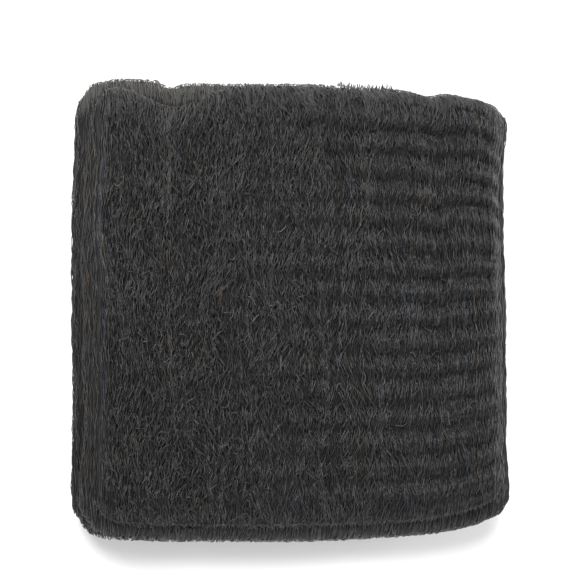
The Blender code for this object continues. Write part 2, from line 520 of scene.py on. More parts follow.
    def _straight_ends(self, across: np.ndarray, layer: np.ndarray) -> tuple[np.ndarray, np.ndarray]:
        """Find where each layer's straight run starts and ends, in the direction in which the band runs.

        Args:
            across: Places across the band.
            layer: The layer that each is in.

        Returns:
            The run's start and its end, along the pad.
        """
        overhang = self.fold_radius + self.half_thickness
        far_row, near_row = layer // 2, (layer + 1) // 2
        far = np.where(far_row == 0, self._column("far_front", across), self._column("far_deep", across))
        near = np.where(near_row == 0, self._column("near_front", across), self._column("near_deep", across))
        far = far - np.array(FAR_HELD_BACK)[far_row] - overhang
        near = near + np.array(NEAR_HELD_BACK)[near_row]
        near = near + np.where((layer == 0) | (layer == self.last), 0.0, overhang)
        ahead = self.heading(layer) > 0
        return np.where(ahead, near, far), np.where(ahead, far, near)

    def _across(self, across: np.ndarray, along: np.ndarray, layer: np.ndarray, run: np.ndarray,
                on_fold: np.ndarray) -> np.ndarray:
        """Draw places on the band in, or let them out, towards the nearer side edge.

        Args:
            across: How far across the band each place is.
            along: How far along the pad it is.
            layer: The layer that it is in.
            run: Its share of that layer's run.
            on_fold: Whether it is on the fold behind that run.

        Returns:
            Each place's X.
        """
        outward = across / self.half_width
        on_left = outward < 0
        left = -np.interp(along, self.along_places, self.edges["left"])
        right = np.interp(along, self.along_places, self.edges["right"])
        reach = np.where(on_left, left, right)
        partner = np.clip(np.where(on_fold | (run > 0.5), layer + 1, layer - 1), 0, self.last)
        own = np.where(on_left, self.left_insets[layer], self.right_insets[layer])
        other = np.where(on_left, self.left_insets[partner], self.right_insets[partner])
        held = (own + other) / 2
        wave = np.sin(FULL_TURN * along / self.edge_wave_length + self.edge_wave_shift * layer)
        free = own + self.edge_wave * (1 + wave) / 2
        freedom = np.where(on_fold, 0.0, ease(np.minimum(run, 1 - run) / self.fold_hold))
        inset = held + (free - held) * freedom
        return outward * reach - np.sign(outward) * inset * outward ** self.inset_power

    def _round(self, across: np.ndarray, along: np.ndarray, width: float) -> np.ndarray:
        """Find how much of the rim's rounding places take.

        Args:
            across: Each place's X.
            along: Its Y.
            width: How wide the rounding is.

        Returns:
            Shares from 0 inside to 1 on the outline.
        """
        side = np.clip(1 - (self.half_width - np.abs(across)) / width, 0.0, 1.0) ** 2
        end = np.clip(1 - (self.half_length - np.abs(along)) / width, 0.0, 1.0) ** 2
        return side + end - side * end

    def _thinning(self, across: np.ndarray, travel: np.ndarray, bow: np.ndarray) -> np.ndarray:
        """Find the share of the full thickness at places on the band.

        Args:
            across: How far across the band each place is.
            travel: How far along it.
            bow: How far round its fold, from 0 beside the fold to 1 at its middle.

        Returns:
            The shares.
        """
        at_edge = np.interp(np.abs(across), *self.edge_thinning)
        at_end = np.interp(np.minimum(travel, self.whole_travel - travel), *self.end_thinning)
        return at_edge * at_end * (1 - (1 - self.fold_thinning) * bow)

    def points(self, across: Values, travel: Values, side: Values, lift: Values = 0.0) -> np.ndarray:
        """Find places on the band.

        Args:
            across: How far across the band each place is, from -half_width to half_width.
            travel: How far along the band it is.
            side: 1 on the outer face, -1 on the inner one.
            lift: How far it stands off towards the outer face's outside.

        Returns:
            One row of X, Y and Z in millimetres for each place.
        """
        across, travel, side, lift = np.broadcast_arrays(
            *(np.asarray(given, float) for given in (across, travel, side, lift)))
        layer = np.clip(np.floor(travel / self.unit), 0, self.last).astype(int)
        rest = travel - layer * self.unit
        on_fold = (rest > self.run_travel) & (layer < self.last)
        run = np.where(on_fold, 1.0, rest / self.run_travel)
        turn = np.where(on_fold, (rest - self.run_travel) / self.fold_travel, 0.0)
        heading = self.heading(layer)
        start, end = self._straight_ends(across, layer)
        angle = math.pi * (0.5 - turn)
        bow = np.where(on_fold, np.cos(angle), 0.0)
        rise = np.where(on_fold, np.sin(angle), 1.0)
        along = np.where(on_fold, end + heading * self.fold_radius * bow, start + (end - start) * run)
        height = self.pad_height - self.pitch * (layer + 0.5)
        stack = height - np.where(on_fold, self.fold_radius * (1 - rise), 0.0)
        x = self._across(across, along, layer, run, on_fold)
        off = self.half_thickness * self._thinning(across, travel, bow) * side + lift
        y = along + bow * off
        stack = stack + heading * rise * off
        wave = np.sin(FULL_TURN * x / self.face_wave_across) * np.sin(FULL_TURN * y / self.face_wave_along)
        swell = self._column("swell", across) + self.face_wave * (wave - 1)
        top = self.pad_height - self.top_drop * self._round(x, y, self.top_round) + swell
        under = self.under_rise * self._round(x, y, self.under_round)
        z = under + (top - under) * (stack - self.layer_gap / 2) / (self.pad_height - self.layer_gap)
        z = z + np.where((layer == 0) & ~on_fold & (side > 0), self._rows(across, run), 0.0)
        return np.stack([x, y, z], axis=-1) + self.shift

    def _rows(self, across: np.ndarray, run: np.ndarray) -> np.ndarray:
        """Find how far the drawn-up rows of meshes lift the front face.

        Args:
            across: How far across the band each place is.
            run: Its share of the front layer's run.

        Returns:
            The heights, which fade out towards the left.
        """
        from_left = (across + self.half_width) / (2 * self.half_width)
        share = self.row_share_at_left + (1 - self.row_share_at_left) * from_left
        rise = self.row_rise * share * ease(from_left / self.row_fade)
        return rise * np.cos(FULL_TURN * self.mesh_rows * run)

    def settle_on(self, node: str, outer: np.ndarray) -> None:
        """Move the band so that its outline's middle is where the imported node's is.

        Args:
            node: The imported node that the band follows.
            outer: Places all over the band's outer and inner faces.
        """
        low, high = (np.array(corner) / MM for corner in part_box(node))
        middle = (outer.min(axis=0) + outer.max(axis=0)) / 2
        self.shift = np.array([*((low + high) / 2 - middle)[:2], low[2] - outer[:, 2].min()])


@dataclass
class Route:
    """One strand's way.

    Attributes:
        points: Its points, in millimetres.
        radii: Its radius at each point, in millimetres.
        tone: Its shade.
    """

    points: np.ndarray
    radii: np.ndarray
    tone: Tone


@dataclass
class StrandMaker:
    """Turns routes into one joined mesh of closed three-sided strands.

    Attributes:
        materials: The finish of each tone, in the tones' order.
        corners: How many corners a strand's section has.
        clearance: How far the strands stay off the ground, in millimetres.
        weld: How near two points of a strand's end are when they are one, in millimetres.
    """

    materials: list[bpy.types.Material]
    corners: int = 3
    clearance: float = 0.02
    weld: float = 0.001

    def __post_init__(self) -> None:
        """Make the section that every strand has."""
        data = bpy.data.curves.new("strand_section", "CURVE")
        data.dimensions = "2D"
        section = data.splines.new("POLY")
        section.points.add(self.corners - 1)
        section.use_cyclic_u = True
        for index, point in enumerate(section.points):
            angle = FULL_TURN * index / self.corners
            point.co = (math.cos(angle) * MM, math.sin(angle) * MM, 0.0, 1.0)
        self.section = bpy.data.objects.new("strand_section", data)
        bpy.context.scene.collection.objects.link(self.section)

    def make(self, name: str, routes: list[Route]) -> bpy.types.Object:
        """Make one piece of all the strands.

        Args:
            name: The piece's name.
            routes: The strands' ways.

        Returns:
            The piece, riding on the pad's body.
        """
        data = bpy.data.curves.new(name, "CURVE")
        data.dimensions = "3D"
        data.bevel_mode = "OBJECT"
        data.bevel_object = self.section
        data.use_fill_caps = True
        for material in self.materials:
            data.materials.append(material)
        for route in routes:
            spline = data.splines.new("POLY")
            spline.points.add(len(route.points) - 1)
            places = np.ones((len(route.points), 4))
            places[:, :3] = route.points * MM
            places[:, 2] = np.maximum(places[:, 2], (route.radii + self.clearance) * MM)
            spline.points.foreach_set("co", places.ravel())
            spline.points.foreach_set("radius", route.radii)
            spline.material_index = route.tone.value
            spline.use_smooth = True
        curve = bpy.data.objects.new(name + "_ways", data)
        bpy.context.scene.collection.objects.link(curve)
        state = bpy.context.evaluated_depsgraph_get()
        mesh = bpy.data.meshes.new_from_object(curve.evaluated_get(state), depsgraph=state)
        bpy.data.objects.remove(curve)
        bpy.data.curves.remove(data)
        self._close(mesh)
        mesh.name = name
        return finish_piece(bpy.data.objects.new(name, mesh))

    def _close(self, mesh: bpy.types.Mesh) -> None:
        """Weld the strands' ends shut, and turn all their faces outwards.

        Args:
            mesh: The strands' mesh.
        """
        work = bmesh.new()
        work.from_mesh(mesh)
        bmesh.ops.remove_doubles(work, verts=work.verts, dist=self.weld * MM)
        bmesh.ops.recalc_face_normals(work, faces=work.faces)
        work.to_mesh(mesh)
        work.free()


def finish_piece(piece: bpy.types.Object) -> bpy.types.Object:
    """Link a piece, let it ride on the pad's body and report it.

    Args:
        piece: The new piece.

    Returns:
        The same piece.
    """
    bpy.context.scene.collection.objects.link(piece)
    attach(piece, BODY)
    triangles = sum(len(face.vertices) - 2 for face in piece.data.polygons)
    log.info("%s: %d triangles", piece.name, triangles)
    return piece


@dataclass
class BandBody:
    """The band's soft dark body: a closed sheet on the folds, a little inside the strands that show.

    Attributes:
        band: The path that it follows.
        across_steps: How many faces it has across.
        front_steps: How many faces it has along the front layer.
        run_steps: How many along each other layer.
        fold_steps: How many round each fold.
        crowding: How much the points of the other layers crowd towards their ends.
        fullness: How much of the band's thickness it has; the rest is the depth of the strands that show.
        painted_pale_lip: How far the far folds' paler finish, which paints the light falling on them, reaches in
            past them.
    """

    band: FoldedBand
    across_steps: int = 50
    front_steps: int = 104
    run_steps: int = 18
    fold_steps: int = 10
    crowding: float = 0.75
    fullness: float = 0.66
    painted_pale_lip: float = 6.0

    def stations(self) -> tuple[np.ndarray, np.ndarray]:
        """Find where the body has points.

        Returns:
            The places across the band, and the travels along it.
        """
        band = self.band
        share = np.linspace(-1, 1, self.across_steps + 1)
        across = band.half_width * (np.sin(share * math.pi / 2) + share) / 2
        travels: list[float] = []
        for layer in range(band.layer_count):
            start = layer * band.unit
            steps = self.run_steps if layer else self.front_steps
            shares = np.arange(steps + 1) / steps
            if layer:
                crowded, even = np.cos(shares * math.pi), 1 - 2 * shares
                shares = (1 - self.crowding * crowded - (1 - self.crowding) * even) / 2
            travels += list(start + band.run_travel * shares)
            if layer < band.last:
                turns = np.arange(1, self.fold_steps) / self.fold_steps
                travels += list(start + band.run_travel + band.fold_travel * turns)
        return across, np.array(travels)

    def settle(self) -> None:
        """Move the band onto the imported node."""
        across, travels = self.stations()
        grid_across, grid_travel = (axis.ravel() for axis in np.meshgrid(across, travels))
        faces = [self.band.points(grid_across, grid_travel, side) for side in (1.0, -1.0)]
        self.band.settle_on(NODE, np.concatenate(faces))

    def build(self, finish: PackedFinish, pale_finish: PackedFinish) -> bpy.types.Object:
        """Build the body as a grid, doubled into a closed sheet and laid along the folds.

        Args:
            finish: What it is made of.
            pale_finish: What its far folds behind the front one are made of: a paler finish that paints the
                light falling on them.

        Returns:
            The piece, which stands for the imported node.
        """
        band = self.band
        across, travels = self.stations()
        mesh = bmesh.new()
        bmesh.ops.create_grid(mesh, x_segments=len(across) - 1, y_segments=len(travels) - 1, size=0.5)
        doubled = bmesh.ops.extrude_face_region(mesh, geom=mesh.faces[:], use_keep_orig=True)
        outer = {item for item in doubled["geom"] if isinstance(item, bmesh.types.BMVert)}
        # The grid reaches from -0.5 to 0.5 both ways, so a point's place on it tells its column and its station.
        verts = list(mesh.verts)
        column = np.array([round((vert.co.x + 0.5) * (len(across) - 1)) for vert in verts])
        station = np.array([round((vert.co.y + 0.5) * (len(travels) - 1)) for vert in verts])
        side = np.array([self.fullness if vert in outer else -self.fullness for vert in verts])
        places = band.points(across[column], travels[station], side)
        for vert, place in zip(verts, places * MM):
            vert.co = place
        # Faces on the far folds take the paler finish, as painted light on them.
        layer = np.floor(travels / band.unit)
        past_run = travels - layer * band.unit > band.run_travel - self.painted_pale_lip
        painted_pale_station = past_run & band.is_painted_pale(layer)
        painted_pale_verts = {vert for vert, is_painted_pale in zip(verts, painted_pale_station[station]) if is_painted_pale}
        for face in mesh.faces:
            face.material_index = int(all(vert in painted_pale_verts for vert in face.verts))
        bmesh.ops.recalc_face_normals(mesh, faces=mesh.faces)
        data = bpy.data.meshes.new("netting_folds")
        mesh.to_mesh(data)
        mesh.free()
        data.shade_smooth()
        data.materials.append(finish.material())
        data.materials.append(pale_finish.material())
        piece = finish_piece(bpy.data.objects.new("netting_folds", data))
        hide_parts(NODE)
        return piece


@dataclass
class Net:
    """What all the strand sets share: the band, the meshes' rows, and the chances of each Tone in its order.

    Attributes:
        band: The path that the net follows.
        tone_chances: The shades where nothing else is said.
        row_tone_chances: Those on the front layer where its rows line up, which are deeper.
        far_tone_chances: Those on the far folds behind the front one, which are mostly painted pale, as painted
            light falling on them.
        curl_tone_chances: Those of the loose curls, which are paler.
        right_tone_chances: Those on the right margins, which are partly painted pale, as painted light on that
            side strip.
        drift_size: How far the slow drift carries the front layer's strands sideways.
        heave_size: How far the slow heave lifts them.
        least_aligned: How strictly the rows line up at the left.
        aligned_from: Where across the band they start to line up better.
        aligned_width: Over what width they come to line up fully.
        curly_place: Where across and along the band the loops curl most.
        curly_size: How wide and how long that place is.
        calm_share: How much of their lift the strands keep on the outline.
        calm_rim: How far in from the outline they still lie calm.
        calm_width: Over what width they come to keep all of it.
        calm_start: How far past the free end this starts, and over what length they come to keep all.
        edge_hold: How much the side edges hold a strand's sideways way.
        edge_hold_power: How steeply that hold fades towards the middle.
    """

    band: FoldedBand
    tone_chances: Chances = (0.36, 0.38, 0.16, 0.10, 0.0)
    row_tone_chances: Chances = (0.52, 0.29, 0.11, 0.08, 0.0)
    far_tone_chances: Chances = (0.02, 0.08, 0.05, 0.0, 0.85)
    curl_tone_chances: Chances = (0.12, 0.42, 0.26, 0.16, 0.04)
    right_tone_chances: Chances = (0.20, 0.32, 0.14, 0.10, 0.24)
    drift_size: float = 3.4
    heave_size: float = 0.35
    least_aligned: float = 0.06
    aligned_from: float = -25.0
    aligned_width: float = 120.0
    curly_place: Range = (-108.0, 76.0)
    curly_size: Range = (34.0, 62.0)
    calm_share: float = 0.22
    calm_rim: float = 1.0
    calm_width: float = 15.0
    calm_start: Range = (2.0, 12.0)
    edge_hold: float = 0.8
    edge_hold_power: int = 6

    def __post_init__(self) -> None:
        """Work out the rows' pitch and draw the slow fields that neighbouring strands share."""
        self.row_pitch = self.band.run_travel / self.band.mesh_rows
        self.drift = WaveField(seed=11, across_length=52.0, along_length=95.0)
        self.bundle = WaveField(seed=12, across_length=10.0, along_length=48.0)
        self.heave = WaveField(seed=13, across_length=26.0, along_length=40.0)
        self.hollow = WaveField(seed=14, across_length=44.0, along_length=60.0)

    def aligned(self, across: float) -> float:
        """Return how strictly the rows line up at a place across, from 0 to 1."""
        share = ease((across - self.aligned_from) / self.aligned_width)
        return float(self.least_aligned + (1 - self.least_aligned) * share)

    def curled(self, across: float, travel: float) -> float:
        """Return how much loops curl at a place, from 0 to 1: most in the lower left of the front layer."""
        apart = (np.array([across, travel]) - self.curly_place) / self.curly_size
        return math.exp(-(apart ** 2).sum())

    def calm(self, across: np.ndarray, travel: np.ndarray) -> np.ndarray:
        """Find how much of their lift the front layer's strands keep: least of it along the pad's outline.

        Args:
            across: How far across the band each place is.
            travel: How far along it.

        Returns:
            The shares.
        """
        band = self.band
        side = ease((band.half_width - self.calm_rim - np.abs(across)) / self.calm_width)
        end = ease((band.run_travel - self.calm_rim - travel) / self.calm_width)
        past, length = self.calm_start
        return self.calm_share + (1 - self.calm_share) * side * end * ease((travel + past) / length)

    def drawn(self, middle: float, across: np.ndarray) -> np.ndarray:
        """Return a strand's way across the band, held on it and calmer near its side edges."""
        hold = 1 - self.edge_hold * (abs(middle) / self.band.half_width) ** self.edge_hold_power
        return self.on_band(middle + (across - middle) * hold)

    def on_band(self, across: np.ndarray) -> np.ndarray:
        """Return places across, held on the band."""
        return np.clip(across, -self.band.half_width, self.band.half_width)

    def spread(self, rank: int, count: int, chance: Chance) -> float:
        """Return where across the band a strand lies, somewhere in its own share of the whole width."""
        return self.band.half_width * (2 * (rank + chance.uniform(0, 1)) / count - 1)

    def wave(self, travel: np.ndarray, lengths: Range, chance: Chance) -> np.ndarray:
        """Return a wave along the band, of a length drawn from a range and with a start of its own."""
        return np.sin(FULL_TURN * travel / chance.uniform(*lengths) + chance.uniform(0, FULL_TURN))

    def face_chances(self, aligned: float) -> Chances:
        """Return the chances of each shade on the front layer, which is deeper where its rows line up."""
        return tuple(plain + (row - plain) * aligned
                     for plain, row in zip(self.tone_chances, self.row_tone_chances))

    def tone(self, chance: Chance, chances: Chances = ()) -> Tone:
        """Draw a shade, by the given chances or else by the usual ones."""
        chances = chances or self.tone_chances
        return Tone(int(chance.choice(len(chances), p=chances)))

    def lay(self, across: np.ndarray, travel: np.ndarray, side: Values, lift: Values, radius: Values,
            tone: Tone) -> Route:
        """Lay a strand on the band.

        Args:
            across: Its way across the band.
            travel: Its way along it.
            side: 1 on the outer face, -1 on the inner one, and between them inside.
            lift: How far it stands off the band.
            radius: Its radius, or that of each point.
            tone: Its shade.

        Returns:
            The strand's way.
        """
        radii = np.array(np.broadcast_to(radius, travel.shape), float)
        return Route(self.band.points(across, travel, side, lift), radii, tone)


@dataclass
class FrontStrands:
    """The long strands over the front layer, wrapped round its far fold.

    Attributes:
        net: The net that they belong to.
        seed: What fixes their unevenness.
        reach: Where across the band the pile starts and ends.
        count: How many there are.
        step: The travel between their points.
        starts: The range of the travels at which they start.
        past_fold: The range of how far they reach on past the far fold.
        bundling: How far they lean together in bundles.
        waves: Three sets of sideways waves: the range of their lengths, and their size.
        wave_shares: The range of the share of that size that a strand has.
        wildness: That share's factor where the rows don't line up, and how much less it is where they do.
        depth: How deep the pile of strands is.
        rise: How far the whole pile is raised.
        bob_size: The size of a strand's own bobbing.
        bobs: The range of its lengths.
        lag_size: How unevenly the strands dip between rows.
        valley_power: How narrow the dips are.
        valley_depth: Their depth, and how much more it is where the rows line up.
        hollows: How much of that depth there is everywhere, how much comes and goes, and the most of it.
        deepest: The lowest that a strand lies.
        knot_size: How much thicker a strand is at its knots.
        knot_power: How short the knots are.
        radius: The range of their radius.
    """

    net: Net
    seed: int = 21
    reach: Range = (-158.0, 152.0)
    count: int = 480
    step: float = 2.5
    starts: Range = (-2.0, 4.0)
    past_fold: Range = (3.0, 9.0)
    bundling: float = 0.9
    waves: Waves = (((6.0, 9.5), 0.42), ((10.0, 18.0), 0.66), ((24.0, 52.0), 0.85))
    wave_shares: Range = (0.4, 1.4)
    wildness: Range = (1.3, 0.5)
    depth: float = 2.2
    rise: float = 0.4
    bob_size: float = 0.55
    bobs: Range = (8.0, 15.0)
    lag_size: float = 0.35
    valley_power: float = 1.5
    valley_depth: Range = (0.6, 1.9)
    hollows: Triple = (0.6, 0.75, 1.5)
    deepest: float = -0.9
    knot_size: float = 0.45
    knot_power: float = 90.0
    radius: Range = (0.24, 0.38)

    def route(self, rank: int, chance: Chance) -> Route:
        """Lay one strand.

        Args:
            rank: Its place in the row of strands, from the left.
            chance: Where its own unevenness comes from.

        Returns:
            The strand's way.
        """
        band, net = self.net.band, self.net
        left, right = self.reach
        middle = left + (right - left) * (rank + chance.uniform(0, 1)) / self.count
        start = chance.uniform(*self.starts)
        end = band.run_travel + band.fold_travel + chance.uniform(*self.past_fold)
        travel = np.arange(start, end, self.step)
        aligned = net.aligned(middle)
        across = middle + net.drift_size * net.drift.at(middle, travel)
        across = across + self.bundling * net.bundle.at(middle, travel)
        wild = self.wildness[0] - self.wildness[1] * aligned
        for lengths, size in self.waves:
            own_size = size * wild * chance.uniform(*self.wave_shares)
            across = across + own_size * net.wave(travel, lengths, chance)
        across = net.drawn(middle, across)
        lag = (1 - aligned) * chance.uniform(-math.pi, math.pi) + self.lag_size * chance.normal()
        valley = (0.5 - 0.5 * np.cos(FULL_TURN * travel / net.row_pitch + lag)) ** self.valley_power
        everywhere, coming, most = self.hollows
        hollow = np.clip(everywhere + coming * net.hollow.at(middle, travel), 0.0, most)
        lift = self.depth * chance.uniform(0.0, 1.0) + net.heave_size * net.heave.at(middle, travel)
        lift = lift + self.bob_size * net.wave(travel, self.bobs, chance) + self.rise
        lift = lift - (self.valley_depth[0] + self.valley_depth[1] * aligned) * valley * hollow
        lift = np.maximum(lift, self.deepest) * net.calm(across, travel)
        from_knot = (travel / net.row_pitch + lag / FULL_TURN) % 1.0 - 0.5
        knot = np.exp(-from_knot ** 2 * self.knot_power)
        radii = chance.uniform(*self.radius) * (1 + self.knot_size * knot)
        return net.lay(across, travel, 1.0, lift, radii, net.tone(chance, net.face_chances(aligned)))

    def build(self, maker: StrandMaker) -> list[bpy.types.Object]:
        """Build the strands as a left and a right piece.

        Args:
            maker: What turns ways into meshes.

        Returns:
            The two pieces.
        """
        chance = np.random.default_rng(self.seed)
        routes = [self.route(rank, chance) for rank in range(self.count)]
        half = self.count // 2
        return [
            maker.make("face_strands_left", routes[:half]),
            maker.make("face_strands_right", routes[half:]),
        ]


@dataclass
class LooseCurls:
    """The cross strands that have come loose and curl on top of the others, mostly in the lower left.

    Attributes:
        net: The net that they belong to.
        count: How many there are.
        points: How many points each has.
        reach: Where across the band they start and end.
        overrun: How far a curl may wind on past the right end of that.
        travels: Where along the band they start and end.
        first_travel: The least travel that a curl has.
        lean: How they are spread across, as a beta distribution's shape.
        height: How they are spread along.
        slant: How far they slant from the band's way at most.
        bend: How much a curl bends steadily, and how much it winds.
        winding: The range of how fast it winds.
        steps: The range of the distance between its points.
        lift: The range of how high it lies.
        rise: How much higher its middle lies.
        radius: The range of its radius.
        swelling: How much thicker its middle is.
    """

    net: Net
    count: int = 310
    points: int = 10
    reach: Range = (-150.0, 150.0)
    overrun: float = 2.0
    travels: Range = (14.0, 282.0)
    first_travel: float = 1.0
    lean: Range = (1.0, 2.2)
    height: Range = (1.3, 2.2)
    slant: float = 0.9
    bend: Range = (0.17, 0.20)
    winding: Range = (0.5, 1.3)
    steps: Range = (0.6, 1.25)
    lift: Range = (1.1, 2.1)
    rise: float = 0.7
    radius: Range = (0.26, 0.40)
    swelling: float = 0.25

    def route(self, chance: Chance) -> Route:
        """Lay one curl.

        Args:
            chance: Where its own unevenness comes from.

        Returns:
            The curl's way.
        """
        band, net = self.net.band, self.net
        left, right = self.reach
        low, high = self.travels
        middle = left + (right - left) * chance.beta(*self.lean)
        foot = low + (high - low) * chance.beta(*self.height)
        heading = chance.uniform(-self.slant, self.slant) + (math.pi if chance.uniform() < 0.5 else 0.0)
        steady, wound = self.bend
        bends = chance.normal() * steady
        bends = bends + wound * np.sin(np.arange(self.points) * chance.uniform(*self.winding))
        headings = heading + np.cumsum(bends)
        step = chance.uniform(*self.steps)
        across = middle + np.cumsum(np.sin(headings)) * step
        across = np.clip(across, -band.half_width, right + self.overrun)
        travel = foot + np.cumsum(np.cos(headings)) * step
        travel = np.clip(travel, self.first_travel, band.run_travel)
        bow = arch(self.points)[1]
        lift = (chance.uniform(*self.lift) + self.rise * bow) * net.calm(across, travel)
        radii = chance.uniform(*self.radius) * (1 + self.swelling * bow)
        return net.lay(across, travel, 1.0, lift, radii, net.tone(chance, net.curl_tone_chances))


@dataclass
class CrossLoops:
    """The cross strands of the front layer, doubled into loops where the net was drawn together.

    Attributes:
        net: The net that they belong to.
        curls: The loose curls that lie on them.
        seed: What fixes their unevenness.
        reach: Where across the band they start and end.
        per_row: How many loops each row has.
        points: How many points a loop has.
        ahead_share: The share of them that point along the band, while the rest point back.
        overlap: How far their feet lie behind their own row where the rows line up.
        scatter: The share of a row's pitch by which their feet are spread where they don't.
        foot_scatter: How far a foot lies off its place, and how much more where the rows don't line up.
        curl_size: How far a loop curls sideways, and how much more in the curly place.
        tilt_size: How much it tilts, and how much more where the rows don't line up.
        length: The range of its length.
        shortening: How much shorter it is in the curly place.
        openness: The range of the distance between its feet.
        opening: How much wider apart they are in the curly place.
        bluntness: The power that makes its end blunt.
        sway: How far its middle curls over, and how far its sides wind, for its curl.
        windings: The range of how often they wind.
        first_travel: The least travel that a loop has.
        lift: The range of how high it lies.
        rise: The most that its middle lies higher.
        radius: The range of its radius.
        foot_swelling: How much thicker its feet are.
    """

    net: Net
    curls: LooseCurls
    seed: int = 22
    reach: Range = (-157.0, 152.0)
    per_row: int = 176
    points: int = 9
    ahead_share: float = 0.7
    overlap: float = 5.0
    scatter: float = 0.54
    foot_scatter: Range = (1.0, 2.2)
    curl_size: Range = (0.7, 2.4)
    tilt_size: Range = (0.10, 0.34)
    length: Range = (6.5, 11.5)
    shortening: float = 0.45
    openness: Range = (0.7, 2.4)
    opening: float = 1.4
    bluntness: float = 0.8
    sway: Range = (1.3, 0.35)
    windings: Range = (0.8, 1.7)
    first_travel: float = 0.5
    lift: Range = (0.5, 2.2)
    rise: float = 1.0
    radius: Range = (0.24, 0.36)
    foot_swelling: float = 1.8

    def route(self, row: int, rank: int, chance: Chance) -> Route:
        """Lay one loop.

        Args:
            row: The row of meshes that it starts from.
            rank: Its place in that row, from the left.
            chance: Where its own unevenness comes from.

        Returns:
            The loop's way.
        """
        band, net = self.net.band, self.net
        left, right = self.reach
        middle = left + (right - left) * (rank + chance.uniform(0, 1)) / self.per_row
        aligned = net.aligned(middle)
        way = 1 if chance.uniform() < self.ahead_share else -1
        foot = (row + 1.0) * net.row_pitch - self.overlap * way * aligned
        foot += (1 - aligned) * chance.uniform(-self.scatter, self.scatter) * net.row_pitch
        foot += (self.foot_scatter[0] + self.foot_scatter[1] * (1 - aligned)) * chance.normal()
        curled = net.curled(middle, foot)
        curl = (self.curl_size[0] + self.curl_size[1] * curled) * chance.normal()
        tilt = (self.tilt_size[0] + self.tilt_size[1] * (1 - aligned)) * chance.normal()
        reach = way * chance.uniform(*self.length) * (1 - self.shortening * curled)
        width = chance.uniform(*self.openness) * (1 + self.opening * curled)
        share, bow = arch(self.points)
        travel = foot + reach * bow ** self.bluntness
        over, winding = self.sway
        across = middle + width * (share - 0.5) + (curl * over * bow + tilt * reach) * bow
        across = across + net.drift_size * net.drift.at(middle, travel)
        across = across + winding * curl * np.sin(FULL_TURN * share * chance.uniform(*self.windings))
        travel = np.clip(travel, self.first_travel, band.run_travel + band.fold_travel)
        across = net.drawn(middle, across)
        lift = chance.uniform(*self.lift) + chance.uniform(0.0, self.rise) * bow
        lift = (lift + net.heave_size * net.heave.at(middle, travel)) * net.calm(across, travel)
        radii = np.full(self.points, chance.uniform(*self.radius))
        radii[[0, -1]] *= self.foot_swelling
        return net.lay(across, travel, 1.0, lift, radii, net.tone(chance, net.face_chances(aligned)))

    def build(self, maker: StrandMaker) -> bpy.types.Object:
        """Build all the loops and the loose curls as one piece.

        Args:
            maker: What turns ways into meshes.

        Returns:
            The piece.
        """
        chance = np.random.default_rng(self.seed)
        rows = range(-1, self.net.band.mesh_rows)
        routes = [self.route(row, rank, chance) for row in rows for rank in range(self.per_row)]
        routes += [self.curls.route(chance) for _ in range(self.curls.count)]
        return maker.make("face_cross_strands", routes)


@dataclass
class Fringe:
    """The upright loops that stand out of the far folds like a comb.

    Attributes:
        net: The net that they belong to.
        reach: Where across the band they start and end.
        count: How many there are.
        points: How many points each has.
        folds: The folds that they stand on in turn.
        places: The range of the share of the fold at which they stand.
        spacing: The range of where each stands in its own share of the width.
        openness: The range of the distance between a loop's feet.
        lean: How far the loops lean sideways, and how unevenly.
        rise: How far their feet stand off the fold.
        height: The range of their height.
        nod: How far they nod along the band.
        radius: The range of their radius.
    """

    net: Net
    reach: Range = (28.0, 70.0)
    count: int = 56
    points: int = 8
    folds: tuple[int, int] = (0, 2)
    places: Range = (0.42, 0.54)
    spacing: Range = (0.3, 0.7)
    openness: Range = (0.5, 0.9)
    lean: Range = (0.6, 0.5)
    rise: float = 0.3
    height: Range = (1.8, 3.8)
    nod: float = 0.6
    radius: Range = (0.22, 0.32)

    def route(self, rank: int, chance: Chance) -> Route:
        """Lay one loop of the comb.

        Args:
            rank: Its place in the comb, from the left.
            chance: Where its own unevenness comes from.

        Returns:
            The loop's way.
        """
        band, net = self.net.band, self.net
        low, high = self.reach
        share, bow = arch(self.points)
        middle = low + (high - low) * (rank + chance.uniform(*self.spacing)) / self.count
        fold = self.folds[rank % 2]
        foot = fold * band.unit + band.run_travel + chance.uniform(*self.places) * band.fold_travel
        across = middle + chance.uniform(*self.openness) * (share - 0.5)
        across = across + (self.lean[0] + self.lean[1] * chance.normal()) * bow
        lift = self.rise + chance.uniform(*self.height) * bow
        travel = foot + chance.normal() * self.nod * bow
        return net.lay(across, travel, 1.0, lift, chance.uniform(*self.radius), net.tone(chance))


